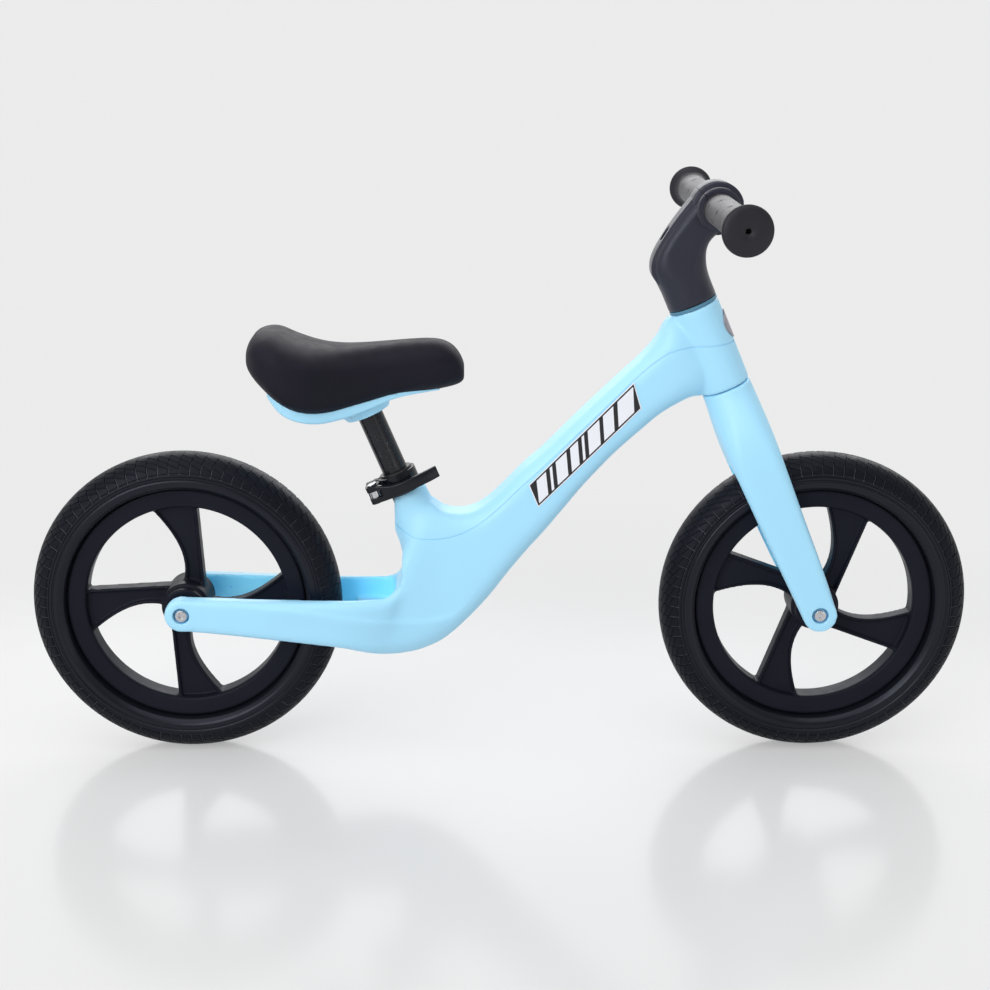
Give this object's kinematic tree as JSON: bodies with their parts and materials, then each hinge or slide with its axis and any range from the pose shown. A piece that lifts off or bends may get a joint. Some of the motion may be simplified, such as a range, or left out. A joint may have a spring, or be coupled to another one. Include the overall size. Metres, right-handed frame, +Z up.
{
  "type": "balance bike",
  "caption": "Child's balance bike: moulded frame and fork, spoked wheels with rubber tyres, turning handlebar, height-adjustable saddle with a lever clamp.",
  "frame": {"origin": "on the ground, midway between the two wheel centres, at the centre of the bounding box base", "axes": "+X forward along the bike, +Y to the rider's left, +Z up"},
  "size_m": [0.898, 0.376, 0.5497],
  "materials": {
    "blue_plastic": "satin light sky-blue moulded plastic",
    "blue_collar": "satin, darker blue",
    "black_plastic": "fine matte black moulded plastic",
    "bushing_plastic": "smooth black plastic",
    "clamp_black": "gloss black anodised",
    "post_black": "gloss black paint",
    "steel": "bright zinc",
    "black_steel": "black oxide",
    "grip_rubber": "matte dark grey rubber",
    "tyre_rubber": "matte black rubber",
    "saddle_foam": "soft matte black skin",
    "badge": "brushed grey disc",
    "decal": null
  },
  "bodies": {
    "frame": {"frame": "blue_plastic", "head_badge": "badge", "headset_upper_bushing": "bushing_plastic", "headset_lower_bushing": "bushing_plastic", "headset_collar": "blue_collar", "seat_tube_liner": "bushing_plastic", "clamp_collar": "clamp_black", "clamp_skewer": "steel", "clamp_pin": "steel", "clamp_washers": "steel", "rear_axle": "steel", "rear_axle_bolts": "steel", "rear_hub_spacers": "steel", "rear_bearing_inner_rings": "steel", "frame_decals": "decal"},
    "steering": {"fork": "blue_plastic", "steerer_tube": "steel", "steerer_plug": "steel", "stem": "black_plastic", "stem_bolt": "black_steel", "handlebar": "steel", "bar_clamp_cap": "black_plastic", "bar_clamp_screws": "black_steel", "grip_left": "grip_rubber", "grip_right": "grip_rubber", "front_axle": "steel", "front_axle_bolts": "steel", "front_hub_spacers": "steel", "front_bearing_inner_rings": "steel"},
    "front_wheel": {"front_rim": "black_plastic", "front_tyre": "tyre_rubber", "front_bearing_outer_rings": "steel", "front_bearing_balls": "steel"},
    "rear_wheel": {"rear_rim": "black_plastic", "rear_tyre": "tyre_rubber", "rear_bearing_outer_rings": "steel", "rear_bearing_balls": "steel"},
    "saddle": {"saddle_cushion": "saddle_foam", "saddle_base": "blue_plastic", "seat_post": "post_black", "seat_post_plug": "bushing_plastic", "saddle_screw": "steel"},
    "clamp_lever": {"clamp_lever": "clamp_black"},
    "clamp_nut": {"clamp_nut": "clamp_black"}
  },
  "joints": [
    {"name": "steering", "type": "hinge", "parent": "frame", "child": "steering", "pos_m": [0.301, 0, 0.148], "axis": [-0.3971, 0, 0.9178], "continuous": true},
    {"name": "front_wheel_spin", "type": "hinge", "parent": "steering", "child": "front_wheel", "pos_m": [0.301, 0, 0.148], "axis": [0, 1, 0], "continuous": true},
    {"name": "rear_wheel_spin", "type": "hinge", "parent": "frame", "child": "rear_wheel", "pos_m": [-0.301, 0, 0.148], "axis": [0, 1, 0], "continuous": true},
    {"name": "seat_height", "type": "slide", "parent": "frame", "child": "saddle", "axis": [-0.3907, 0, 0.9205], "range_m": [-0.042, 0.05]},
    {"name": "clamp_lever_swing", "type": "hinge", "parent": "frame", "child": "clamp_lever", "pos_m": [-0.11848, -0.0175, 0.25979], "axis": [0.3907, 0, -0.9205], "range_deg": [0, 140]},
    {"name": "clamp_nut_turn", "type": "hinge", "parent": "frame", "child": "clamp_nut", "pos_m": [-0.11848, 0.012, 0.25979], "axis": [0, 1, 0], "continuous": true}
  ]
}
